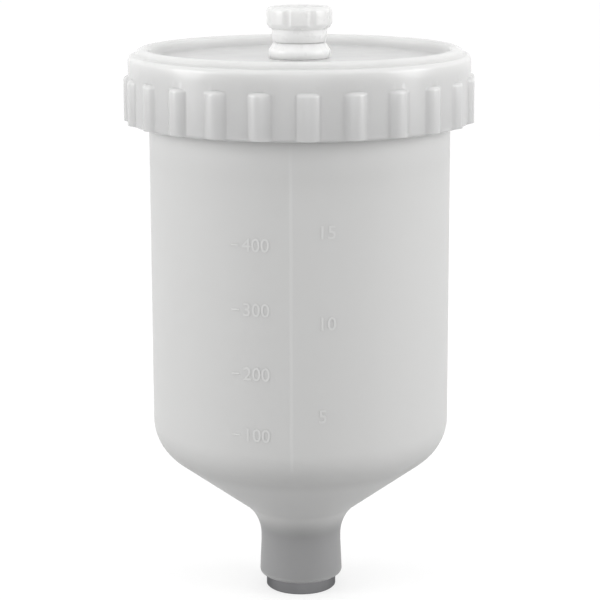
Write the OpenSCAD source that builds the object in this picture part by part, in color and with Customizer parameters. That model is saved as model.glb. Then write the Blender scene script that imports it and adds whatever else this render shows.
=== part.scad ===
// Gravity-feed paint cup with a screw lid, a pull-up vent cap and a metal outlet insert.
// The origin is the centre of the outlet's end face, +Z points up the cup, and the front faces -Y.

/* [Cup] */
// Outside diameter of the straight wall
cup_d = 85.7; // [76:0.1:100]
// Length of the straight wall, from the corner above the cone to the mouth
straight_h = 107.5; // [80:0.5:150]
// Thickness of the moulded wall
wall_t = 2; // [1.6:0.1:2.6]
// Angle of the cone from the vertical, in degrees
cone_angle = 53.3; // [46:0.1:58]
// Radius of the shoulder between straight wall and cone
shoulder_r = 13.5; // [8:0.5:18]
// Radius of the hollow curve between cone and neck
root_r = 13; // [7:0.5:14]

/* [Neck] */
// Outside diameter of the neck at its waist
neck_d = 23.4; // [23:0.1:27]
// Outside diameter of the neck at its lower end
neck_end_d = 24.3; // [23.4:0.1:28]
// Height at which the lines of cone and neck meet
neck_h = 22.1; // [21.1:0.1:28]
// Height of the waist, the narrowest place
waist_z = 13.8; // [10:0.1:14.5]
// Radius of the rounded lower edge
neck_edge_r = 1.2; // [0.5:0.1:1.4]
// Diameter of the plastic throat above the insert
throat_d = 15.8; // [15.2:0.1:17]

/* [Outlet insert] */
// Length of the whole insert
insert_h = 18; // [17.5:0.1:19.5]
// Outside diameter of the end ring that shows below the neck
ring_d = 20.4; // [19.8:0.1:22]
// Height of the end ring
ring_h = 3.85; // [2:0.05:4.5]
// Bevel on the ring's lower edge
ring_bevel = 0.3; // [0.1:0.1:1.2]
// Minor diameter of the female outlet thread
outlet_d = 14.95; // [13:0.05:15]
// Diameter of the shank inside the neck
shank_d = 19.6; // [18.6:0.1:20.3]
// Depth of the two keying grooves
groove_t = 0.8; // [0.4:0.1:1]
// Height of each keying groove
groove_h = 2; // [1:0.1:2.4]
// Height of the hexagon between the grooves
hex_h = 4; // [3:0.1:4.6]
// How far the hexagon's flats stand out from the grooves
hex_out = 0.2; // [0.1:0.05:0.3]

/* [Lid] */
// Thickness of the lid's flat plate
plate_t = 2.2; // [1.6:0.1:3]
// Height of the skirt below the plate's top face
skirt_h = 17.9; // [17.4:0.1:20]
// Thickness of the skirt at its lower edge
skirt_t = 3.6; // [2.8:0.1:4.5]
// How much wider the skirt is below than above, on the radius
skirt_draft = 0.2; // [0:0.05:0.6]
// Radius of the skirt's rounded lower edge
skirt_edge_r = 1; // [0.4:0.1:1.4]
// Radius of the rounding between shoulder and skirt
lid_edge_r = 1.5; // [1:0.1:2]
// Height of the shoulder above the plate's top face
lid_shoulder_h = 1; // [0.6:0.1:1.6]
// Radius of the half-round bead's section
bead_r = 2.15; // [1.8:0.05:2.6]
// Height of the bead's crest above the plate's top face
bead_h = 2.85; // [2.4:0.05:3.2]
// Radius of the bead's crest beyond the cup's wall
bead_out = 1.3; // [0.8:0.1:1.8]
// Depth of the locating lip below the plate
lip_h = 3.6; // [2.4:0.1:5]
// Thickness of the locating lip
lip_t = 1.5; // [1:0.1:2.2]
// Gap between the locating lip and the cup's wall
lip_gap = 1.55; // [1.2:0.05:2]

/* [Grip ribs] */
// Number of ribs round the skirt
rib_count = 24; // [16:1:30]
// Angle of the first rib from the front, in degrees
rib_turn = 2.6; // [0:0.1:15]
// Radius of a rib's rounded face
rib_r = 3; // [2.4:0.1:3.4]
// How far a rib stands out from the skirt's lower edge
rib_out = 1.2; // [0.6:0.1:1.6]
// Distance from the plate's top face down to the ribs' tops
rib_top_drop = 4.7; // [4:0.1:7]
// Radius of the rounded edge round a rib's top
rib_edge_r = 0.8; // [0.3:0.1:1.2]
// Distance from the ribs' feet to the skirt's lower edge
rib_foot = 0.4; // [0.2:0.1:2]

/* [Lid thread] */
// Rise of the thread in one turn
thread_lead = 8; // [7:0.5:9]
// Height of a ridge above its wall
thread_depth = 1.7; // [1.3:0.1:2]
// Gap between a ridge's crest and the other wall
thread_gap = 0.6; // [0.4:0.05:0.8]
// Width of a ridge at its root
ridge_root_w = 2; // [1.4:0.1:2.2]
// Width of a ridge at its crest
ridge_crest_w = 1; // [0.6:0.1:1.2]
// Distance from the mouth down to the top of the cup's thread
thread_drop = 1.6; // [1.2:0.1:2.4]
// Angle that each of the cup's ridges runs, in degrees
cup_thread_sweep = 330; // [240:10:330]
// Angle that each of the lid's ridges runs, in degrees
lid_thread_sweep = 270; // [180:10:270]
// How much closer the lid's ridges lie below the cup's when closed
thread_pull = 0.3; // [0:0.05:0.4]

/* [Gasket] */
// Thickness of the flat ring
gasket_t = 1.6; // [1:0.1:2.5]
// Gap between the ring and the lid's walls beside it
gasket_gap = 0.25; // [0.2:0.05:0.4]

/* [Vent] */
// Diameter of the cap's head
head_d = 18.6; // [17:0.1:22]
// Height of the cap's head
head_h = 5.6; // [4.6:0.1:8]
// Radius of the head's rounded top edge
head_edge_r = 1.5; // [0.6:0.1:1.8]
// Width of the bevel under the head
head_bevel_w = 0.6; // [0.3:0.1:1]
// Height of the bevel under the head
head_bevel_h = 1.2; // [0.8:0.1:2]
// Radius of the corner above that bevel
head_bevel_r = 0.8; // [0.3:0.1:1]
// Number of shallow finger flutes round the head
flute_count = 8; // [6:1:12]
// Depth of a finger flute
flute_t = 0.35; // [0.1:0.05:0.6]
// Radius of a finger flute's hollow
flute_r = 3.2; // [2.6:0.1:4]
// Diameter of the cap's barrel under its head
barrel_d = 15.8; // [15.6:0.1:16.6]
// Height of the cap's barrel
barrel_h = 4; // [3.6:0.1:5]
// Width of the bevel at the barrel's lower edge
barrel_bevel_w = 0.6; // [0.2:0.1:0.9]
// Height of the bevel at the barrel's lower edge
barrel_bevel_h = 0.7; // [0.3:0.1:1]
// Diameter of the vent body's flange
flange_d = 17.5; // [16.4:0.1:22]
// Diameter of the vent body's waist, just under the cap
vent_waist_d = 14.2; // [13:0.1:15]
// Height of the vent body's flange above the lid's plate
flange_h = 4.4; // [3.8:0.1:6]
// Radius of the flange's rounded edge
flange_edge_r = 1.3; // [0.8:0.1:1.5]
// Diameter of the stem that the cap slides on
stem_d = 9; // [8:0.1:9.2]
// Diameter of the air hole through the stem
air_d = 2.4; // [1.6:0.1:3]
// How far the cap pulls up before its lip meets the stem's collar
vent_pull = 2.8; // [2:0.1:3]
// How far the collar stands out from the stem
collar_t = 0.7; // [0.4:0.1:0.8]
// Height of the collar
collar_h = 1; // [0.8:0.1:1.4]
// Thickness of the seal ring's section
seal_t = 1.6; // [1.2:0.1:1.8]
// Thickness of the cap's wall under the seal ring
seal_floor_t = 0.6; // [0.4:0.1:0.8]
// Thickness of the lip over the seal ring, which meets the collar
seal_lip_t = 0.7; // [0.5:0.1:0.8]
// Thickness of the head's roof
roof_t = 1.7; // [1.4:0.1:2.2]
// Diameter of the shank through the lid
vent_shank_d = 10; // [8:0.1:12]
// How far the snap barb stands out under the lid
barb_t = 0.6; // [0.3:0.1:1]
// Height of the snap barb
barb_h = 1.5; // [1:0.1:2]
// Radius of the shank's lower edge
shank_edge_r = 0.3; // [0.1:0.1:0.5]
// Diameter of the air hole in the back of the barrel
side_air_d = 1.6; // [1:0.1:2]
// Distance from that hole up to the head's underside
side_air_drop = 0.2; // [0.1:0.1:0.6]

/* [Clearances] */
// Radial gap of a sliding or turning fit
slide_gap = 0.05; // [0.02:0.01:0.1]
// Gap between faces that pass each other freely
free_gap = 0.3; // [0.2:0.05:0.5]
// Gap under the closed cap
cap_gap = 0.1; // [0.05:0.05:0.3]

/* [Hidden] */
$fn = 96;
arc_steps = 8;
// How far a cut runs on past the face that it opens
past = 1;
plastic = [0.90, 0.90, 0.89];
lid_plastic = [0.93, 0.93, 0.92];
steel = [0.62, 0.62, 0.63];
seal_grey = [0.30, 0.30, 0.31];

cup_r = cup_d / 2;
neck_r = neck_d / 2;
neck_end_r = neck_end_d / 2;
throat_r = throat_d / 2;
cone_top_z = neck_h + (cup_r - neck_r) / tan(cone_angle);
mouth_z = cone_top_z + straight_h;
// The inner wall follows the outer one at the wall's thickness
inner_r = cup_r - wall_t;
inner_cone_shift = wall_t / sin(cone_angle);
inner_cone_top_z = cone_top_z + inner_cone_shift - wall_t / tan(cone_angle);
inner_cone_end_z = neck_h + inner_cone_shift - (neck_r - throat_r) / tan(cone_angle);

ring_r = ring_d / 2;
shank_r = shank_d / 2;
outlet_r = outlet_d / 2;
groove_r = shank_r - groove_t;
key_z = ring_h + (insert_h - ring_h - hex_h - 2 * groove_h) / 2;
key_top_z = key_z + 2 * groove_h + hex_h;
// A hexagon's corners lie farther out than its flats
hex_corner_r = (groove_r + hex_out) / cos(30);

lid_under_z = mouth_z + gasket_t;
plate_z = lid_under_z + plate_t;
skirt_z = plate_z - skirt_h;
lid_bore_r = cup_r + thread_depth + thread_gap;
skirt_r = lid_bore_r + skirt_t;
skirt_top_r = skirt_r - skirt_draft;
bead_centre_r = cup_r + bead_out;
bead_centre_z = plate_z + bead_h - bead_r;
lid_shoulder_z = plate_z + lid_shoulder_h;
lip_r = cup_r - wall_t - lip_gap;

thread_starts = 2;
thread_pitch = thread_lead / thread_starts;
thread_step = 10;
thread_fade = 20;
thread_sink = 0.6;
ridge_least = 0.2;
cup_thread_z = mouth_z - thread_drop - ridge_root_w / 2 - thread_lead * cup_thread_sweep / 360;
lid_thread_z = cup_thread_z - thread_pitch / 2 + thread_pull;

vent_shank_r = vent_shank_d / 2;
stem_r = stem_d / 2;
seal_r = seal_t / 2;
seal_centre_r = stem_r + slide_gap + seal_r;
flange_r = flange_d / 2;
vent_waist_r = vent_waist_d / 2;
barrel_r = barrel_d / 2;
head_r = head_d / 2;
flange_top_z = plate_z + flange_h;
barrel_z = flange_top_z + cap_gap;
head_z = barrel_z + barrel_h;
head_top_z = head_z + head_h;
seal_z = barrel_z + seal_floor_t + seal_r;
lip_top_z = seal_z + seal_r + seal_lip_t;
collar_z = lip_top_z + vent_pull;
stem_top_z = collar_z + collar_h;
chamber_r = stem_r + collar_t + free_gap;

// A corner of an outline, given as [radius, height, rounding], becomes a short arc
function unit(v) = v / norm(v);
function arc_at(corner, before, after) =
    let (
        a = unit([before[0] - corner[0], before[1] - corner[1]]),
        b = unit([after[0] - corner[0], after[1] - corner[1]]),
        half = acos(a * b) / 2,
        centre = [corner[0], corner[1]] + unit(a + b) * corner[2] / sin(half),
        from = [corner[0], corner[1]] + a * corner[2] / tan(half) - centre,
        side = sign(a[0] * b[1] - a[1] * b[0]),
        start = atan2(from[1], from[0])
    )
    [for (i = [0 : arc_steps])
        centre + corner[2] * [
            cos(start - side * (180 - 2 * half) * i / arc_steps),
            sin(start - side * (180 - 2 * half) * i / arc_steps)
        ]
    ];
function rounded(corners) =
    let (n = len(corners))
    [for (i = [0 : n - 1])
        for (p = corners[i][2] > 0
            ? arc_at(corners[i], corners[(i + n - 1) % n], corners[(i + 1) % n])
            : [[corners[i][0], corners[i][1]]]) p
    ];

module turned(corners) {
    rotate_extrude() polygon(rounded(corners));
}

// A ridge of trapezoid section that climbs round a wall and fades out at both ends
module thread_ridge(wall_r, outward, z0, sweep) {
    steps = floor(sweep / thread_step);
    function height_at(i) =
        let (from_end = min(i, steps - i) * thread_step)
        max(ridge_least, min(1, from_end / thread_fade)) * thread_depth;
    function ring_at(i) =
        let (
            a = i * thread_step,
            z = z0 + thread_lead * a / 360,
            tip = height_at(i),
            tip_w = ridge_root_w + (ridge_crest_w - ridge_root_w) * tip / thread_depth,
            root = wall_r - outward * thread_sink,
            crest = wall_r + outward * tip,
            spread = (ridge_root_w - ridge_crest_w) * (thread_sink + tip) / thread_depth,
            section = [
                [root, -(tip_w + spread) / 2], [crest, -tip_w / 2],
                [crest, tip_w / 2], [root, (tip_w + spread) / 2]
            ]
        )
        [for (p = outward > 0 ? section : [for (k = [3 : -1 : 0]) section[k]])
            [p[0] * cos(a), p[0] * sin(a), z + p[1]]
        ];
    points = [for (i = [0 : steps]) each ring_at(i)];
    n = 4;
    sides = [for (i = [0 : steps - 1]) for (k = [0 : n - 1]) each [
        [i * n + k, i * n + (k + 1) % n, (i + 1) * n + k],
        [i * n + (k + 1) % n, (i + 1) * n + (k + 1) % n, (i + 1) * n + k]
    ]];
    first = [[for (k = [n - 1 : -1 : 0]) k]];
    last = [[for (k = [0 : n - 1]) steps * n + k]];
    polyhedron(points, concat(sides, first, last), convexity = 4);
}

module thread(wall_r, outward, z0, sweep) {
    for (k = [0 : thread_starts - 1])
        rotate(k * 360 / thread_starts)
            thread_ridge(wall_r, outward, z0, sweep);
}

// The outside of the insert, which the neck is moulded round: a shank with one long
// recess, and in its middle a hexagon whose corners are turned down to the shank
module insert_outside() {
    turned([
        [0, 0, 0],
        [ring_r - ring_bevel, 0, 0],
        [ring_r, ring_bevel, 0],
        [ring_r, ring_h, 0],
        [shank_r, ring_h, 0],
        [shank_r, key_z, 0],
        [groove_r, key_z, 0],
        [groove_r, key_top_z, 0],
        [shank_r, key_top_z, 0],
        [shank_r, insert_h, 0],
        [0, insert_h, 0]
    ]);
    translate([0, 0, key_z + groove_h])
        intersection() {
            cylinder(r = hex_corner_r, h = hex_h, $fn = 6);
            cylinder(r = shank_r, h = hex_h);
        }
}

// One moulding: straight wall, rounded shoulder, cone, and a neck moulded round the insert
module cup_body() {
    color(plastic)
    difference() {
        union() {
            turned([
                [0, ring_h, 0],
                [neck_end_r, ring_h, neck_edge_r],
                [neck_r, waist_z, 0],
                [neck_r, neck_h, root_r],
                [cup_r, cone_top_z, shoulder_r],
                [cup_r, mouth_z, 0],
                [0, mouth_z, 0]
            ]);
            thread(cup_r, 1, cup_thread_z, cup_thread_sweep);
        }
        turned([
            [0, insert_h - past, 0],
            [throat_r, insert_h - past, 0],
            [throat_r, inner_cone_end_z, 0],
            [inner_r, inner_cone_top_z, shoulder_r - wall_t],
            [inner_r, mouth_z + past, 0],
            [0, mouth_z + past, 0]
        ]);
        insert_outside();
    }
}

// The turned metal insert with the female outlet thread
module outlet_insert() {
    color(steel)
    difference() {
        insert_outside();
        translate([0, 0, -past])
            cylinder(r = outlet_r, h = insert_h + 2 * past);
    }
}

module lid_gasket() {
    color(seal_grey)
    translate([0, 0, mouth_z])
    difference() {
        cylinder(r = lid_bore_r - gasket_gap, h = gasket_t);
        translate([0, 0, -past])
            cylinder(r = lip_r + gasket_gap, h = gasket_t + 2 * past);
    }
}

// One rib: a round-faced bar with a rounded edge at its top, most of it inside the skirt
module grip_rib() {
    rib_z = skirt_z + rib_foot;
    rib_h = plate_z - rib_top_drop - rib_z;
    // One corner on the arc of the edge stands for the whole arc
    edge_in = rib_edge_r * (1 - cos(45));
    translate([0, rib_r - skirt_r - rib_out, rib_z])
        rotate_extrude($fn = 48)
            polygon([
                [0, 0],
                [rib_r, 0],
                [rib_r, rib_h - rib_edge_r],
                [rib_r - edge_in, rib_h - edge_in],
                [rib_r - rib_edge_r, rib_h],
                [0, rib_h]
            ]);
}

module screw_lid() {
    color(lid_plastic)
    difference() {
        union() {
            difference() {
                union() {
                    turned([
                        [0, skirt_z, 0],
                        [skirt_r, skirt_z, skirt_edge_r],
                        [skirt_top_r, lid_shoulder_z, lid_edge_r],
                        [bead_centre_r, lid_shoulder_z, 0],
                        [bead_centre_r, plate_z, 0],
                        [0, plate_z, 0]
                    ]);
                    translate([0, 0, bead_centre_z])
                        rotate_extrude()
                            translate([bead_centre_r, 0])
                                circle(r = bead_r, $fn = 48);
                    for (i = [0 : rib_count - 1])
                        rotate(rib_turn + i * 360 / rib_count)
                            grip_rib();
                }
                translate([0, 0, skirt_z - past])
                    cylinder(r = lid_bore_r, h = lid_under_z - skirt_z + past);
            }
            thread(lid_bore_r, -1, lid_thread_z, lid_thread_sweep);
            translate([0, 0, lid_under_z - lip_h])
                difference() {
                    cylinder(r = lip_r, h = lip_h + plate_t / 2);
                    translate([0, 0, -past])
                        cylinder(r = lip_r - lip_t, h = lip_h + past);
                }
        }
        translate([0, 0, lid_under_z - past])
            cylinder(r = vent_shank_r, h = plate_t + 2 * past);
    }
}

// The vent's fixed half: a flange on the lid, a barbed shank through it and the stem
module vent_body() {
    color(lid_plastic)
    difference() {
        turned([
            [0, lid_under_z - barb_h, 0],
            [vent_shank_r, lid_under_z - barb_h, shank_edge_r],
            [vent_shank_r + barb_t, lid_under_z, 0],
            [vent_shank_r, lid_under_z, 0],
            [vent_shank_r, plate_z, 0],
            [flange_r - flange_edge_r / 2, plate_z, 0],
            [flange_r, plate_z + flange_edge_r, flange_edge_r],
            [flange_r, plate_z + flange_h / 2, flange_edge_r],
            [vent_waist_r, flange_top_z, 0],
            [stem_r, flange_top_z, 0],
            [stem_r, collar_z, 0],
            [stem_r + collar_t, collar_z, 0],
            [stem_r + collar_t / 2, stem_top_z, 0],
            [0, stem_top_z, 0]
        ]);
        translate([0, 0, lid_under_z - barb_h - past])
            cylinder(r = air_d / 2, h = stem_top_z - lid_under_z + barb_h + 2 * past);
    }
}

module vent_seal_ring() {
    color(seal_grey)
    translate([0, 0, seal_z])
        rotate_extrude()
            translate([seal_centre_r, 0])
                circle(r = seal_r, $fn = 32);
}

// The pull-up cap: a fluted head on a barrel that carries the seal ring in a groove
module vent_cap() {
    color(lid_plastic)
    difference() {
        turned([
            [0, barrel_z, 0],
            [barrel_r - barrel_bevel_w, barrel_z, 0],
            [barrel_r, barrel_z + barrel_bevel_h, 0],
            [barrel_r, head_z, 0],
            [head_r - head_bevel_w, head_z, 0],
            [head_r, head_z + head_bevel_h, head_bevel_r],
            [head_r, head_top_z, head_edge_r],
            [0, head_top_z, 0]
        ]);
        for (i = [0 : flute_count - 1])
            rotate((i + 0.5) * 360 / flute_count)
                translate([0, -head_r + flute_t - flute_r, head_z - past])
                    cylinder(r = flute_r, h = head_h + 2 * past, $fn = 48);
        translate([0, 0, barrel_z - past])
            cylinder(r = stem_r + free_gap, h = lip_top_z - barrel_z + 2 * past);
        translate([0, 0, seal_z - seal_r - slide_gap])
            cylinder(r = seal_centre_r + seal_r + slide_gap, h = seal_t + 2 * slide_gap);
        translate([0, 0, lip_top_z])
            cylinder(r = chamber_r, h = head_top_z - roof_t - lip_top_z);
        translate([0, 0, head_z - side_air_drop - side_air_d / 2])
            rotate([-90, 0, 0])
                cylinder(r = side_air_d / 2, h = barrel_r + past, $fn = 24);
    }
}

cup_body();
outlet_insert();
lid_gasket();
screw_lid();
vent_body();
vent_seal_ring();
vent_cap();
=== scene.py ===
import math

import bpy
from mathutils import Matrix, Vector


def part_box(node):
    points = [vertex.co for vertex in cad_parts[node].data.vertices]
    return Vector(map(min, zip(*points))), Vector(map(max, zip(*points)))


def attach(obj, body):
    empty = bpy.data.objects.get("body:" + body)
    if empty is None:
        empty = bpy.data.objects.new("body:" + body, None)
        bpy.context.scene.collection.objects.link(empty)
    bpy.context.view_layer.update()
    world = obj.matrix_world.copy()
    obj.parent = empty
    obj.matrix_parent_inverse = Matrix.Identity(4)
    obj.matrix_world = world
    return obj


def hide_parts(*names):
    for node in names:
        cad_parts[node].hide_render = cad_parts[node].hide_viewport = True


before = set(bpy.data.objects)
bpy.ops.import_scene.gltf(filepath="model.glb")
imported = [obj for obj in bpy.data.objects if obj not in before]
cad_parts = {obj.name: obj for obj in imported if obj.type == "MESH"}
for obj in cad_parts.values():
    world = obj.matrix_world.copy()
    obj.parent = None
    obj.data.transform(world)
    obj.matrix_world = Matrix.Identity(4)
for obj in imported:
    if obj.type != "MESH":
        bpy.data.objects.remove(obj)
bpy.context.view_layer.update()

# The camera stands in front of the cup and a little above its lid, and looks down at it.
# Its lens and shift put the cup where the photograph has it, in a square frame of 600 pixels.
frame_px = 600
focal_px = 1975.3
axis_px = (300.05, 239.4)
camera_away = 0.560
camera_up = 0.2095
camera_tilt = math.radians(10.66)
camera_roll = math.radians(0.17)
sensor = 0.036

bpy.ops.object.camera_add(
    location=(0, -camera_away, camera_up),
    rotation=(math.pi / 2 - camera_tilt, 0, 0),
)
camera = bpy.context.object
camera.name = "camera"
camera.rotation_euler.rotate_axis("Z", -camera_roll)
camera.data.sensor_width = sensor * 1000
camera.data.lens = focal_px / frame_px * sensor * 1000
camera.data.shift_x = (frame_px / 2 - axis_px[0]) / frame_px
camera.data.shift_y = (axis_px[1] - frame_px / 2) / frame_px
camera.data.clip_start = 0.01
bpy.context.scene.camera = camera
bpy.context.scene.view_settings.view_transform = "Standard"


# The studio is a sheet of white paper under a white world, with broad soft lamps at both sides
# and in front, and two small ones overhead. A material is built by one Finish that wraps its
# node tree. A number that varies over the surface is a Tone, and adds and multiplies as one.
class Tone:
    def __init__(self, finish, socket):
        self.finish = finish
        self.socket = socket

    def maths(self, operation, first, second):
        return self.finish.node("ShaderNodeMath", {"operation": operation}, {0: first, 1: second})

    def __add__(self, other):
        return self.maths("ADD", self, other)

    __radd__ = __add__

    def __mul__(self, other):
        return self.maths("MULTIPLY", self, other)

    __rmul__ = __mul__

    def __abs__(self):
        return self.maths("ABSOLUTE", self, 0.0)


class Finish:
    def __init__(self, name):
        self.material = bpy.data.materials.new(name)
        self.material.use_nodes = True
        self.tree = self.material.node_tree
        self.shader = self.tree.nodes["Principled BSDF"]

    def node(self, kind, settings=None, sockets=None, out=0):
        made = self.tree.nodes.new(kind)
        for key, value in (settings or {}).items():
            setattr(made, key, value)
        for key, value in (sockets or {}).items():
            self.feed(made.inputs[key], value)
        return Tone(self, made.outputs[out])

    def feed(self, socket, value):
        if isinstance(value, Tone):
            self.tree.links.new(value.socket, socket)
        else:
            socket.default_value = value

    def set(self, **sockets):
        for key, value in sockets.items():
            self.feed(self.shader.inputs[key.replace("_", " ")], value)

    def place(self):
        return self.node("ShaderNodeTexCoord", out="Object")

    def axis(self, which):
        return self.node("ShaderNodeSeparateXYZ", {}, {0: self.place()}, out=which)

    def from_axis(self):
        flat = self.node(
            "ShaderNodeVectorMath",
            {"operation": "MULTIPLY"},
            {0: self.place(), 1: (1, 1, 0)},
        )
        return self.node("ShaderNodeVectorMath", {"operation": "LENGTH"}, {0: flat}, out="Value")

    def noise(self, scale, detail, stretch=(1, 1, 1)):
        stretched = self.node("ShaderNodeMapping", {}, {"Vector": self.place(), "Scale": stretch})
        return self.node(
            "ShaderNodeTexNoise",
            {},
            {"Vector": stretched, "Scale": scale, "Detail": detail},
            out="Fac",
        )

    def rise(self, value, low, high):
        """0 below low and 1 above high, or the other way round where low is the higher."""
        return self.node(
            "ShaderNodeMapRange",
            {"interpolation_type": "SMOOTHSTEP"},
            {"Value": value, "From Min": low, "From Max": high},
        )

    def blend(self, share, first, second):
        return self.node(
            "ShaderNodeMix",
            {"data_type": "RGBA"},
            {"Factor": share, 6: first, 7: second},
            out=2,
        )

    def bump(self, height, distance):
        return self.node("ShaderNodeBump", {}, {"Height": height, "Distance": distance})


world_light = 0.90
paper_tone = (0.35, 0.35, 0.35, 1)
paper_lift = 0.65
paper_size = 6.0
lamp_aim = Vector((0, 0, 0.09))


def soft_lamp(name, place, size, power):
    bpy.ops.object.light_add(type="AREA", location=place)
    lamp = bpy.context.object
    lamp.name = name
    lamp.data.shape = "DISK"
    lamp.data.size = size
    lamp.data.energy = power
    aim = lamp_aim - Vector(place)
    lamp.rotation_euler = aim.to_track_quat("-Z", "Y").to_euler()


soft_lamp("left_lamp", (-0.77, -0.20, 0.32), 0.5, 2.75)
soft_lamp("right_lamp", (0.78, -0.20, 0.32), 0.5, 2.75)
soft_lamp("front_lamp", (0.0, -1.0, 0.20), 0.6, 1.0)
soft_lamp("top_left_lamp", (-0.30, -0.35, 0.80), 0.05, 0.2)
soft_lamp("top_right_lamp", (0.32, -0.30, 0.80), 0.05, 0.2)


def plain_rays(tree, target, behind, seen):
    """Camera, gloss and glass rays get the seen shader, and all others the one behind."""
    rays = tree.nodes.new("ShaderNodeLightPath")
    either = tree.nodes.new("ShaderNodeMath")
    either.operation = "MAXIMUM"
    any_of = tree.nodes.new("ShaderNodeMath")
    any_of.operation = "MAXIMUM"
    mixed = tree.nodes.new("ShaderNodeMixShader")
    tree.links.new(rays.outputs["Is Camera Ray"], either.inputs[0])
    tree.links.new(rays.outputs["Is Glossy Ray"], either.inputs[1])
    tree.links.new(either.outputs[0], any_of.inputs[0])
    tree.links.new(rays.outputs["Is Transmission Ray"], any_of.inputs[1])
    tree.links.new(any_of.outputs[0], mixed.inputs["Fac"])
    tree.links.new(behind, mixed.inputs[1])
    tree.links.new(seen, mixed.inputs[2])
    tree.links.new(mixed.outputs["Shader"], target)


world = bpy.data.worlds.new("studio")
bpy.context.scene.world = world
world.use_nodes = True
tree = world.node_tree
sky = tree.nodes["Background"]
sky.inputs["Color"].default_value = (1, 1, 1, 1)
sky.inputs["Strength"].default_value = world_light
white_sky = tree.nodes.new("ShaderNodeBackground")
white_sky.inputs["Color"].default_value = (1, 1, 1, 1)
plain_rays(
    tree,
    tree.nodes["World Output"].inputs["Surface"],
    sky.outputs["Background"],
    white_sky.outputs["Background"],
)

bpy.ops.object.select_all(action="DESELECT")
bpy.ops.mesh.primitive_plane_add(size=paper_size)
floor = bpy.context.object
floor.name = "floor"
paper = Finish("white_paper")
paper.set(Base_Color=paper_tone, Roughness=0.9)
tree = paper.tree
lift = tree.nodes.new("ShaderNodeEmission")
lift.inputs["Color"].default_value = (paper_lift, paper_lift, paper_lift, 1)
lifted = tree.nodes.new("ShaderNodeAddShader")
tree.links.new(paper.shader.outputs["BSDF"], lifted.inputs[0])
tree.links.new(lift.outputs["Emission"], lifted.inputs[1])
plain_rays(
    tree,
    tree.nodes["Material Output"].inputs["Surface"],
    paper.shader.outputs["BSDF"],
    lifted.outputs["Shader"],
)
floor.data.materials.append(paper.material)


# The outlet insert is turned from stainless bar: an end ring, a shank with two keying grooves
# and a hexagon between them, and the female thread that takes the gun's inlet. The neck is
# moulded round it. It is spun from its section, and hexagon and thread are then pressed in.
mm = 0.001
_, insert_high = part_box("outlet_insert")
ring_r = insert_high.x
ring_h = 3.85 * mm
ring_bevel = 0.3 * mm
insert_h = insert_high.z
shank_r = 9.8 * mm
groove_r = 9.0 * mm
hex_flat_r = 9.2 * mm
groove_h = 2.0 * mm
hex_h = 4.0 * mm
key_z = ring_h + (insert_h - ring_h - hex_h - 2 * groove_h) / 2
hex_low_z = key_z + groove_h
hex_high_z = hex_low_z + hex_h
outlet_r = 7.475 * mm
outlet_pitch = 1.337 * mm
outlet_depth = 0.85 * mm
outlet_flank = 1.7
outlet_end_z = 15.0 * mm
outlet_run_out = 2.0 * mm
near_wall = 0.1 * mm


def rounded(corners, steps):
    """An outline of (radius, height) points from corners of (radius, height, rounding)."""
    line = []
    for k, (r, z, rounding) in enumerate(corners):
        here = Vector((r, z))
        if rounding <= 0:
            line.append((r, z))
            continue
        before = (Vector(corners[k - 1][:2]) - here).normalized()
        after = (Vector(corners[(k + 1) % len(corners)][:2]) - here).normalized()
        half = before.angle(after) / 2
        centre = here + (before + after).normalized() * rounding / math.sin(half)
        start = here + before * rounding / math.tan(half) - centre
        turn = (math.pi - 2 * half) * (-1 if before.cross(after) > 0 else 1)
        for i in range(steps + 1):
            a = turn * i / steps
            line.append(
                (
                    centre.x + start.x * math.cos(a) - start.y * math.sin(a),
                    centre.y + start.x * math.sin(a) + start.y * math.cos(a),
                )
            )
    return line


def divided(line, longest, closed=True):
    """The outline with its long stretches divided, so that none is longer than asked."""
    fine = []
    ends = line[1:] + line[:1] if closed else line[1:]
    for (r, z), (next_r, next_z) in zip(line, ends):
        middle = ((r + next_r) / 2, (z + next_z) / 2)
        count = math.ceil(math.hypot(next_r - r, next_z - z) / longest(*middle) - 1e-6)
        for i in range(max(1, count)):
            t = i / max(1, count)
            fine.append((r + (next_r - r) * t, z + (next_z - z) * t))
    return fine if closed else fine + line[-1:]


def turned(name, line, around, closed=True):
    """The outline drawn point by point from one vertex, and spun round the Z axis."""
    bpy.ops.object.select_all(action="DESELECT")
    bpy.ops.mesh.primitive_plane_add(size=mm)
    made = bpy.context.object
    made.name = name
    bpy.ops.object.mode_set(mode="EDIT")
    bpy.ops.mesh.select_all(action="SELECT")
    bpy.ops.mesh.merge(type="CENTER")
    bpy.ops.mesh.select_mode(type="VERT")
    r, z = line[0]
    bpy.ops.transform.translate(value=(r, 0, z))
    for next_r, next_z in line[1:] + (line[:1] if closed else []):
        step = (next_r - r, 0, next_z - z)
        bpy.ops.mesh.extrude_region_move(TRANSFORM_OT_translate={"value": step})
        r, z = next_r, next_z
    bpy.ops.mesh.select_all(action="SELECT")
    bpy.ops.mesh.remove_doubles(threshold=0.002 * mm)
    bpy.ops.object.mode_set(mode="OBJECT")
    spun = made.modifiers.new("spun", "SCREW")
    spun.angle = 2 * math.pi
    spun.steps = around
    spun.render_steps = around
    spun.use_merge_vertices = True
    spun.merge_threshold = 0.002 * mm
    bpy.ops.object.modifier_apply(modifier=spun.name)
    bpy.ops.object.mode_set(mode="EDIT")
    bpy.ops.mesh.select_all(action="SELECT")
    bpy.ops.mesh.normals_make_consistent(inside=False)
    bpy.ops.object.mode_set(mode="OBJECT")
    return made


def push(piece, radius_at):
    """Moves every vertex out or in to the radius that its place asks for."""
    for vertex in piece.data.vertices:
        x, y, z = vertex.co
        r = math.hypot(x, y)
        if r > 0.01 * mm:
            scale = radius_at(r, math.atan2(y, x), z) / r
            vertex.co = (x * scale, y * scale, z)


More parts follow.
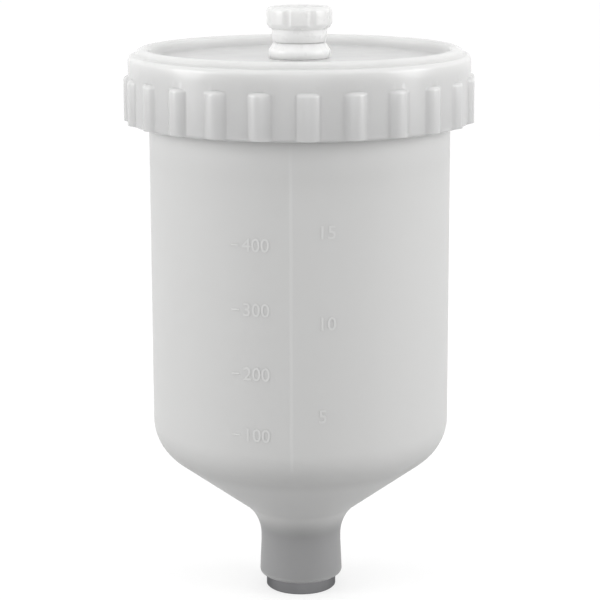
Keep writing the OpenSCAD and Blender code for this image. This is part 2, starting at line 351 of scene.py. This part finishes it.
def smooth(piece, degrees=32):
    bpy.ops.object.select_all(action="DESELECT")
    piece.select_set(True)
    bpy.context.view_layer.objects.active = piece
    bpy.ops.object.shade_smooth_by_angle(angle=math.radians(degrees))


def insert_radius(r, angle, z):
    """The hexagon's flats outside, and the female thread with its run-out inside."""
    if r > shank_r - near_wall and hex_low_z < z < hex_high_z:
        off = (angle + math.pi / 6) % (math.pi / 3) - math.pi / 6
        return min(shank_r, hex_flat_r / math.cos(math.pi / 6 - abs(off)))
    if r < outlet_r + near_wall and z < outlet_end_z:
        turn = (z / outlet_pitch - angle / (2 * math.pi)) % 1
        run_out = min(1, (outlet_end_z - z) / outlet_run_out)
        return r + outlet_depth * run_out * max(0, 1 - abs(4 * turn - 2) / outlet_flank)
    return r


insert_line = rounded(
    [
        (outlet_r + 0.9 * mm, 0, 0),
        (ring_r - ring_bevel, 0, 0.1 * mm),
        (ring_r, ring_bevel, 0.1 * mm),
        (ring_r, ring_h, 0),
        (shank_r, ring_h, 0),
        (shank_r, key_z, 0),
        (groove_r, key_z, 0),
        (groove_r, hex_low_z, 0),
        (shank_r, hex_low_z + 0.01 * mm, 0),
        (shank_r, hex_high_z - 0.01 * mm, 0),
        (groove_r, hex_high_z, 0),
        (groove_r, hex_high_z + groove_h, 0),
        (shank_r, hex_high_z + groove_h, 0),
        (shank_r, insert_h, 0),
        (outlet_r + 0.4 * mm, insert_h, 0),
        (outlet_r, insert_h - 0.4 * mm, 0),
        (outlet_r, 0.9 * mm, 0),
    ],
    4,
)
insert = turned(
    "turned_insert",
    divided(insert_line, lambda r, z: 0.2 * mm if r < outlet_r + near_wall else 2 * mm),
    144,
)
push(insert, insert_radius)
smooth(insert)

steel = Finish("turned_steel")
tool_marks = steel.noise(900.0, 2.0, (0.12, 0.12, 5.0))
cloud = steel.noise(120.0, 3.0)
steel.set(
    Base_Color=steel.blend(cloud, (0.16, 0.16, 0.165, 1), (0.22, 0.22, 0.225, 1)),
    Metallic=1.0,
    Specular_Tint=(0.45, 0.45, 0.46, 1),
    Roughness=0.24 + 0.16 * tool_marks,
    Normal=steel.bump(tool_marks, 0.02 * mm),
)
insert.data.materials.append(steel.material)
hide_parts("outlet_insert")
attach(insert, "cup")


# The cup is one moulding of natural white plastic: straight wall, rounded shoulder, cone, and
# a neck moulded round the insert, which shows through as a dark patch. It is spun from its
# section, and the mouth's two-start thread is then raised on its outside.
cup_low, cup_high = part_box("cup_body")
cup_r = 42.85 * mm
wall = 2.0 * mm
mouth_z = cup_high.z
neck_low_z = cup_low.z
neck_meet_z = 22.1 * mm
cone_angle = math.radians(53.3)
shoulder_round = 13.5 * mm
root_round = 13.0 * mm
neck_r = 11.7 * mm
neck_end_r = 12.15 * mm
neck_edge = 1.2 * mm
waist_z = 13.8 * mm
throat_r = 7.9 * mm
cone_top_z = neck_meet_z + (cup_r - neck_r) / math.tan(cone_angle)
thread_lead = 8.0 * mm
thread_pitch = thread_lead / 2
thread_depth = 1.7 * mm
ridge_root = 2.0 * mm
ridge_crest = 1.0 * mm
ridge_fade = 20.0
cup_sweep = 330.0
thread_below_mouth = 1.6 * mm
cup_thread_z = mouth_z - thread_below_mouth - ridge_root / 2 - thread_lead * cup_sweep / 360
thread_foot_z = cup_thread_z - ridge_root
seam_angle = math.radians(-3.3)


def ridge_height(angle, z, start_z, sweep):
    """How far a two-start ridge stands up from its wall at a place."""
    tallest = 0.0
    for start in (0, 180):
        a = (math.degrees(angle) - start) % 360
        if a > sweep:
            continue
        off = abs(z - start_z - thread_lead * a / 360)
        fade = min(1, a / ridge_fade, (sweep - a) / ridge_fade)
        slope = (ridge_root / 2 - off) / ((ridge_root - ridge_crest) / 2)
        tallest = max(tallest, min(fade, slope) * thread_depth)
    return tallest


inner_r = cup_r - wall
cone_shift = wall / math.sin(cone_angle)
inner_top_z = cone_top_z + cone_shift - wall / math.tan(cone_angle)
inner_end_z = neck_meet_z + cone_shift - (neck_r - throat_r) / math.tan(cone_angle)
cup_line = rounded(
    [
        (ring_r - 0.3 * mm, neck_low_z, 0),
        (neck_end_r, neck_low_z, neck_edge),
        (neck_r, waist_z, 0),
        (neck_r, neck_meet_z, root_round),
        (cup_r, cone_top_z, shoulder_round),
        (cup_r, thread_foot_z, 0),
        (cup_r, mouth_z, 0.4 * mm),
        (inner_r, mouth_z, 0.4 * mm),
        (inner_r, inner_top_z, shoulder_round - wall),
        (throat_r, inner_end_z, 1.0 * mm),
        (throat_r, insert_h, 0),
        (shank_r, insert_h, 0),
        (shank_r, neck_low_z, 0),
    ],
    12,
)


def cup_step(r, z):
    return 0.25 * mm if z > thread_foot_z and r > inner_r + mm else 5 * mm


def cup_radius(r, angle, z):
    if r > cup_r - near_wall and z > thread_foot_z:
        return r + ridge_height(angle, z, cup_thread_z, cup_sweep)
    return r


cup = turned("cup_shell", divided(cup_line, cup_step), 360)
push(cup, cup_radius)
smooth(cup)


def across_seam(finish):
    """Distance from the plane of the mould's parting line, which runs up front and back."""
    normal = (math.cos(seam_angle), math.sin(seam_angle), 0)
    along = finish.node(
        "ShaderNodeVectorMath",
        {"operation": "DOT_PRODUCT"},
        {0: finish.place(), 1: normal},
        out="Value",
    )
    return abs(along)


cup_dark = (0.575, 0.575, 0.57, 1)
cup_pale = (0.615, 0.615, 0.61, 1)
root_light_colour = (0.73, 0.73, 0.725, 1)
rim_light_colour = (0.69, 0.69, 0.685, 1)
seam_highlight_colour = (0.72, 0.72, 0.715, 1)
metal_behind = (0.24, 0.24, 0.245, 1)

# Each pair is the height or distance where a change of colour starts, and where it is full.
metal_top = (25.0 * mm, 17.5 * mm)
metal_foot = (2.6 * mm, 5.5 * mm)
root_top = (46.0 * mm, 37.0 * mm)
root_foot = (20.0 * mm, 28.0 * mm)
rim_light_span = (mouth_z - 26.0 * mm, mouth_z - 14.0 * mm)
seam_half = (0.7 * mm, 0.15 * mm)
outer_skin = (inner_r + 0.8 * mm, inner_r + 1.6 * mm)

cup_plastic = Finish("cup_plastic")
height = cup_plastic.axis("Z")
outside = cup_plastic.rise(cup_plastic.from_axis(), *outer_skin)
seam = cup_plastic.rise(across_seam(cup_plastic), *seam_half) * outside
cloudy = cup_plastic.noise(18.0, 3.0, (1, 1, 0.35))
fine_grain = cup_plastic.noise(700.0, 2.0)
over_insert = cup_plastic.rise(height, *metal_top) * cup_plastic.rise(height, *metal_foot)
# Painted light: the thick plastic at the cone's root is painted lighter, in place of light
# glowing through it.
root_painted_light = cup_plastic.rise(height, *root_top) * cup_plastic.rise(height, *root_foot)
# Painted light: the wall is painted lighter towards the rim, against the shade that the lid's
# skirt casts on it.
painted_rim_light = cup_plastic.rise(height, *rim_light_span)
shade = cup_plastic.blend(cloudy, cup_dark, cup_pale)
shade = cup_plastic.blend(root_painted_light, shade, root_light_colour)
shade = cup_plastic.blend(painted_rim_light, shade, rim_light_colour)
# The parting line's ridge is a real bump; its lighter colour is a painted highlight along the
# ridge.
shade = cup_plastic.blend(seam * 0.25, shade, seam_highlight_colour)
shade = cup_plastic.blend(over_insert * 0.75, shade, metal_behind)
cup_plastic.set(
    Base_Color=shade,
    Roughness=0.40 + 0.10 * cup_plastic.noise(140.0, 2.0),
    Specular_IOR_Level=0.05,
    Subsurface_Weight=0.5,
    Subsurface_Radius=(1, 1, 1),
    Subsurface_Scale=2.5 * mm,
    IOR=1.5,
    Normal=cup_plastic.bump(seam * 0.4 + fine_grain * 0.15, 0.06 * mm),
)
cup.data.materials.append(cup_plastic.material)
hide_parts("cup_body")
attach(cup, "cup")


# The graduations are part of the cup's moulding, in its plastic: two columns of small raised
# numbers on the front, the left one with a short line beside each number. Each is drawn flat
# and then wrapped on the wall.
mark_rise = 0.06 * mm
mark_sink = 0.35 * mm
number_size = 5.2 * mm
number_bevel = 0.05 * mm
line_long = 2.4 * mm
line_high = 0.45 * mm
line_bevel = 0.08 * mm
left_turn = -16.2
line_turn = -24.2
left_numbers = (("400", 110.0), ("300", 92.2), ("200", 74.4), ("100", 57.2))
right_numbers = (("15", 9.7, 113.6), ("10", 9.7, 88.6), ("5", 8.1, 62.8))


def wrapped(piece, angle, z):
    """Lays a flat piece on the cup's front at an angle and a height, with its front outwards."""
    for vertex in piece.data.vertices:
        x, y, out = vertex.co
        turn = math.radians(angle) + x / cup_r
        r = cup_r + out
        vertex.co = (r * math.sin(turn), -r * math.cos(turn), z + y)


def raised_number(word, angle, z):
    bpy.ops.object.select_all(action="DESELECT")
    bpy.ops.object.text_add()
    made = bpy.context.object
    made.data.body = word
    made.data.size = number_size
    made.data.align_x = "CENTER"
    made.data.align_y = "CENTER"
    made.data.extrude = (mark_rise + mark_sink) / 2
    made.data.bevel_depth = number_bevel
    made.data.resolution_u = 5
    bpy.ops.object.convert(target="MESH")
    made = bpy.context.object
    for vertex in made.data.vertices:
        vertex.co.z += (mark_rise - mark_sink) / 2 - number_bevel
    wrapped(made, angle, z)
    return made


def raised_line(angle, z):
    bpy.ops.object.select_all(action="DESELECT")
    bpy.ops.mesh.primitive_cube_add(size=1)
    made = bpy.context.object
    bpy.ops.transform.resize(value=(line_long, line_high, mark_rise + mark_sink))
    bpy.ops.object.transform_apply(location=True, rotation=True, scale=True)
    bpy.ops.object.mode_set(mode="EDIT")
    bpy.ops.mesh.select_all(action="SELECT")
    bpy.ops.mesh.bevel(offset=line_bevel, segments=2, affect="EDGES")
    bpy.ops.mesh.select_all(action="SELECT")
    bpy.ops.mesh.subdivide(number_cuts=3)
    bpy.ops.object.mode_set(mode="OBJECT")
    for vertex in made.data.vertices:
        vertex.co.z += (mark_rise - mark_sink) / 2
    wrapped(made, angle, z)
    return made


marks = []
for word, z in left_numbers:
    marks.append(raised_number(word, left_turn, z * mm))
    marks.append(raised_line(line_turn, z * mm))
for word, turn, z in right_numbers:
    marks.append(raised_number(word, turn, z * mm))
bpy.ops.object.select_all(action="DESELECT")
for mark in marks:
    mark.select_set(True)
bpy.context.view_layer.objects.active = marks[0]
bpy.ops.object.join()
graduations = bpy.context.object
graduations.name = "graduations"
smooth(graduations)

mark_dark = (0.60, 0.60, 0.595, 1)
mark_pale = (0.635, 0.635, 0.63, 1)
mark_plastic = Finish("mark_plastic")
mark_plastic.set(
    Base_Color=mark_plastic.blend(mark_plastic.noise(400.0, 2.0), mark_dark, mark_pale),
    Roughness=0.30 + 0.10 * mark_plastic.noise(600.0, 2.0),
    IOR=1.5,
)
graduations.data.materials.append(mark_plastic.material)
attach(graduations, "cup")


# The gasket is a flat ring cut from white elastomer, held in the lid between its skirt and
# its locating lip. The solid has its whole shape, so it only gets its surface here.
def dress(node, finish):
    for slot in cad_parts[node].material_slots:
        slot.material = finish.material


elastomer = Finish("white_elastomer")
speckle = elastomer.noise(900.0, 3.0)
elastomer.set(
    Base_Color=elastomer.blend(speckle, (0.60, 0.60, 0.59, 1), (0.68, 0.68, 0.67, 1)),
    Roughness=0.62 + 0.18 * speckle,
    Normal=elastomer.bump(speckle, 0.04 * mm),
)
dress("lid_gasket", elastomer)


# The lid is one glossier moulding: a flat sunk plate, a rounded bead that sweeps down to it, a
# shoulder, and a skirt with 24 grip ribs outside and a two-start thread inside. It is spun from
# its section, and ribs and thread are then pushed out of its walls.
lid_low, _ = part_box("screw_lid")
gasket_low, gasket_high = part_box("lid_gasket")
lid_under_z = gasket_high.z
plate_thick = 2.2 * mm
plate_z = lid_under_z + plate_thick
skirt_z = lid_low.z
lid_bore_r = 45.15 * mm
skirt_r = 48.75 * mm
skirt_top_r = skirt_r - 0.2 * mm
skirt_edge_round = 1.0 * mm
lid_edge_round = 1.4 * mm
shoulder_up = 1.2 * mm
lid_shoulder_z = plate_z + shoulder_up
bead_r = 1.8 * mm
bead_centre_r = 44.5 * mm
bead_fillet = 1.0 * mm
bead_foot_r = 40.5 * mm
lip_r = 39.3 * mm
lip_inner_r = lip_r - 1.5 * mm
lip_low_z = lid_under_z - 3.6 * mm
lid_hole_r = 5.0 * mm
rib_count = 24
rib_first = math.radians(-90 + 2.6)
rib_r = 3.0 * mm
rib_out_by = 1.1 * mm
rib_centre_r = skirt_r + rib_out_by - rib_r
rib_top_z = plate_z - 4.7 * mm
rib_top_gap = 0.02 * mm
rib_edge_round = 1.2 * mm
rib_foot_z = skirt_z + 0.4 * mm
rib_fillet = 2.0 * mm
thread_play = 0.3 * mm
lid_thread_z = cup_thread_z - thread_pitch / 2 + thread_play
lid_sweep = 270.0

# The bead's outer side ends where its fillet touches it, and its inner side runs on in a wide
# hollow arc that touches the plate.
bead_from = math.asin(bead_fillet / (bead_r + bead_fillet))
bead_across = bead_centre_r - bead_foot_r
bead_sweep_r = (bead_across**2 + shoulder_up**2 - bead_r**2) / (2 * (bead_r + shoulder_up))
bead_sweep = math.atan2(bead_sweep_r - shoulder_up, bead_across)


def lid_radius(r, angle, z):
    """The grip ribs outside, rounded off at their tops, and the thread inside."""
    if r > skirt_top_r - 0.3 * mm and rib_foot_z < z < rib_top_z:
        rib_now = rib_r
        fillet = rib_fillet
        edge_z = z - rib_top_z + rib_edge_round
        if edge_z > 0:
            full = math.sqrt(1 - (edge_z / rib_edge_round) ** 2)
            rib_now -= rib_edge_round * (1 - full)
            fillet *= full
        off = (angle - rib_first + math.pi / rib_count) % (2 * math.pi / rib_count)
        off -= math.pi / rib_count
        side = rib_centre_r * math.sin(off)
        if abs(side) >= rib_now:
            return r
        rib_out = rib_centre_r * math.cos(off) + math.sqrt(rib_now**2 - side**2)
        near = max(0, fillet - abs(rib_out - r)) / fillet
        return max(r, rib_out) + near**2 * fillet / 4
    if abs(r - lid_bore_r) < near_wall and z < gasket_low.z:
        return r - ridge_height(angle, z, lid_thread_z, lid_sweep)
    return r


def lid_step(r, z):
    if r > skirt_top_r - mm and rib_top_z - rib_edge_round < z < rib_top_z:
        return 0.15 * mm
    if abs(r - lid_bore_r) < near_wall:
        return 0.35 * mm
    return 4 * mm


def skirt_at(z):
    """The skirt's drafted outside, as a corner of the lid's outline at a height."""
    share = (z - skirt_z) / (lid_shoulder_z - skirt_z)
    return (skirt_r + (skirt_top_r - skirt_r) * share, z, 0)


def arc(centre_r, centre_z, r, start, end, steps):
    """Points of the lid's outline on an arc between two angles."""
    turns = [start + (end - start) * i / steps for i in range(steps + 1)]
    return [(centre_r + r * math.cos(a), centre_z + r * math.sin(a), 0) for a in turns]


fillet_centre_r = bead_centre_r + (bead_r + bead_fillet) * math.cos(bead_from)
fillet_centre_z = lid_shoulder_z + bead_fillet
sweep_centre_z = plate_z + bead_sweep_r
down = -math.pi / 2
lid_line = rounded(
    [
        (lid_bore_r, skirt_z, 0.4 * mm),
        (skirt_r, skirt_z, skirt_edge_round),
        skirt_at(rib_foot_z + skirt_edge_round),
        skirt_at(rib_top_z - rib_edge_round),
        skirt_at(rib_top_z - rib_top_gap),
        skirt_at(rib_top_z + rib_top_gap),
        (skirt_top_r, lid_shoulder_z, lid_edge_round),
        *arc(fillet_centre_r, fillet_centre_z, bead_fillet, down, bead_from - math.pi, 5),
        *arc(bead_centre_r, lid_shoulder_z, bead_r, bead_from, math.pi - bead_sweep, 14),
        *arc(bead_foot_r, sweep_centre_z, bead_sweep_r, -bead_sweep, down, 8),
        (lid_hole_r, plate_z, 0.15 * mm),
        (lid_hole_r, lid_under_z, 0.15 * mm),
        (lip_inner_r, lid_under_z, 0),
        (lip_inner_r, lip_low_z, 0.3 * mm),
        (lip_r, lip_low_z, 0.5 * mm),
        (lip_r, lid_under_z, 0),
        (lid_bore_r, lid_under_z, 0),
    ],
    5,
)
lid = turned("ribbed_lid", divided(lid_line, lid_step), 624)
push(lid, lid_radius)
smooth(lid, degrees=40)

lid_dark = (0.625, 0.625, 0.62, 1)
lid_pale = (0.665, 0.665, 0.66, 1)
lid_shade_colour = (0.525, 0.525, 0.525, 1)

# Each pair is the height or radius where the plastic starts to thin, and where it is thinnest;
# there the colour is darkened, as painted shade of the dark space behind the thin plastic.
upper_skirt = (lid_shoulder_z, plate_z - 5.0 * mm)
lower_skirt = (plate_z - 4.0 * mm, skirt_z)
plate_edge = (bead_centre_r - 1.6 * mm, bead_centre_r - 3.2 * mm)

lid_plastic = Finish("lid_plastic")
height = lid_plastic.axis("Z")
skirt_shade_mask = 0.5 * lid_plastic.rise(height, *upper_skirt)
skirt_shade_mask = skirt_shade_mask + 0.5 * lid_plastic.rise(height, *lower_skirt)
plate_shade_mask = 0.6 * lid_plastic.rise(lid_plastic.from_axis(), *plate_edge)
swirled = lid_plastic.blend(lid_plastic.noise(16.0, 3.0), lid_dark, lid_pale)
lid_plastic.set(
    Base_Color=lid_plastic.blend(skirt_shade_mask + plate_shade_mask, swirled, lid_shade_colour),
    Roughness=0.18 + 0.08 * lid_plastic.noise(150.0, 2.0),
    Subsurface_Weight=0.9,
    Subsurface_Radius=(1, 1, 1),
    Subsurface_Scale=5.0 * mm,
    IOR=1.5,
    Normal=lid_plastic.bump(lid_plastic.noise(260.0, 2.0), 0.03 * mm),
)
lid.data.materials.append(lid_plastic.material)
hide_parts("screw_lid")
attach(lid, "lid")


# The vent's fixed half is a small white moulding that snaps through the lid's hole: a rounded
# flange with a waist, a barbed shank below, and a stem with an air hole that the cap slides on.
flange_r = 8.75 * mm
flange_edge = 1.3 * mm
flange_top_z = plate_z + 4.4 * mm
vent_waist_r = 7.35 * mm
stem_r = 4.5 * mm
collar_z = 166.8 * mm
collar_h = 1.0 * mm
air_r = 1.2 * mm
barb_h = 1.5 * mm
shank_low_z = lid_under_z - barb_h
barrel_gap = 0.1 * mm
barrel_h = 4.0 * mm
barrel_z = flange_top_z + barrel_gap
head_z = barrel_z + barrel_h

vent_line = rounded(
    [
        (air_r, shank_low_z, 0.15 * mm),
        (lid_hole_r, shank_low_z, 0.3 * mm),
        (lid_hole_r + 0.6 * mm, lid_under_z, 0.1 * mm),
        (lid_hole_r, lid_under_z, 0),
        (lid_hole_r, plate_z, 0),
        (flange_r - 0.2 * mm, plate_z, 0.1 * mm),
        (flange_r, plate_z + flange_edge, 0.6 * mm),
        (flange_r, plate_z + 2.2 * mm, flange_edge),
        (vent_waist_r, flange_top_z, 0.1 * mm),
        (stem_r, flange_top_z, 0.1 * mm),
        (stem_r, collar_z, 0),
        (stem_r + 0.7 * mm, collar_z, 0.1 * mm),
        (stem_r + 0.35 * mm, collar_z + collar_h, 0.1 * mm),
        (air_r, collar_z + collar_h, 0.15 * mm),
    ],
    6,
)
vent = turned("vent_stem", divided(vent_line, lambda r, z: 2 * mm), 160)
smooth(vent)

vent_dark = (0.67, 0.67, 0.665, 1)
vent_pale = (0.71, 0.71, 0.705, 1)
knob_light_colour = (0.80, 0.80, 0.795, 1)
knob_light_heights = (head_z + 1.5 * mm, head_z - 0.5 * mm)

vent_plastic = Finish("vent_plastic")
milky = vent_plastic.blend(vent_plastic.noise(60.0, 2.0), vent_dark, vent_pale)
# Painted light: the barrel and flange under the head are painted lighter, against the shade the
# head casts on them.
knob_light_mask = vent_plastic.rise(vent_plastic.axis("Z"), *knob_light_heights)
vent_plastic.set(
    Base_Color=vent_plastic.blend(knob_light_mask, milky, knob_light_colour),
    Roughness=0.24 + 0.08 * vent_plastic.noise(220.0, 2.0),
    Subsurface_Weight=0.85,
    Subsurface_Radius=(1, 1, 1),
    Subsurface_Scale=4.0 * mm,
    IOR=1.5,
    Normal=vent_plastic.bump(vent_plastic.noise(420.0, 2.0), 0.02 * mm),
)
vent.data.materials.append(vent_plastic.material)
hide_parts("vent_body")
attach(vent, "lid")


# The vent's seal ring is a small elastomer ring in the cap's groove. The solid has its whole
# shape, so it only gets the gasket's surface.
dress("vent_seal_ring", elastomer)


# The vent cap is a white moulded knob that pulls up to let air in: a head with eight shallow
# finger flutes on a barrel that slides on the stem. The section is spun, the flutes are
# pressed in, and the air hole is drilled through the back of the barrel.
barrel_r = 7.9 * mm
head_r = 9.3 * mm
head_top_z = head_z + 5.9 * mm
head_thick = 1.7 * mm
flute_count = 8
flute_r = 3.2 * mm
flute_depth = 0.35 * mm
flute_centre_r = head_r - flute_depth + flute_r
seal_z = barrel_z + 1.4 * mm
seal_high = 0.85 * mm
seal_out_r = 6.2 * mm
bore_r = stem_r + 0.3 * mm
chamber_r = stem_r + 1.0 * mm
catch_top_z = seal_z + 1.5 * mm
side_hole_r = 0.8 * mm


def cap_radius(r, angle, z):
    """The head's finger flutes, each a part of a cylinder taken off its side."""
    if r < head_r - 1.6 * mm or z < head_z - 0.01 * mm:
        return r
    half = math.pi / flute_count
    off = (angle + math.pi / 2) % (2 * half) - half
    side = flute_centre_r * math.sin(off)
    if abs(side) >= flute_r:
        return r
    return min(r, flute_centre_r * math.cos(off) - math.sqrt(flute_r**2 - side**2))


cap_line = rounded(
    [
        (0, head_top_z - head_thick, 0),
        (chamber_r, head_top_z - head_thick, 0),
        (chamber_r, catch_top_z, 0),
        (bore_r, catch_top_z, 0),
        (bore_r, seal_z + seal_high, 0),
        (seal_out_r, seal_z + seal_high, 0),
        (seal_out_r, seal_z - seal_high, 0),
        (bore_r, seal_z - seal_high, 0),
        (bore_r, barrel_z, 0.1 * mm),
        (barrel_r - 0.45 * mm, barrel_z, 0.1 * mm),
        (barrel_r, barrel_z + 2.2 * mm, 1.0 * mm),
        (barrel_r, head_z, 0.5 * mm),
        (head_r - 0.8 * mm, head_z, 0.3 * mm),
        (head_r, head_z + 1.2 * mm, 0.8 * mm),
        (head_r, head_top_z, 1.2 * mm),
        (0, head_top_z, 0),
    ],
    8,
)
cap_line = divided(cap_line, lambda r, z: 1.2 * mm, closed=False)
cap = turned("vent_knob", cap_line, 288, closed=False)
push(cap, cap_radius)

bpy.ops.object.select_all(action="DESELECT")
bpy.ops.mesh.primitive_cylinder_add(
    vertices=32,
    radius=side_hole_r,
    depth=6 * mm,
    location=(0, barrel_r, head_z - mm),
    rotation=(math.pi / 2, 0, 0),
)
drill = bpy.context.object
bpy.ops.object.transform_apply(location=True, rotation=True, scale=True)
bpy.context.view_layer.objects.active = cap
drilling = cap.modifiers.new("air_hole", "BOOLEAN")
drilling.operation = "DIFFERENCE"
drilling.object = drill
bpy.ops.object.select_all(action="DESELECT")
cap.select_set(True)
bpy.ops.object.modifier_apply(modifier=drilling.name)
bpy.data.objects.remove(drill)
smooth(cap)

cap.data.materials.append(vent_plastic.material)
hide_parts("vent_cap")
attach(cap, "vent")
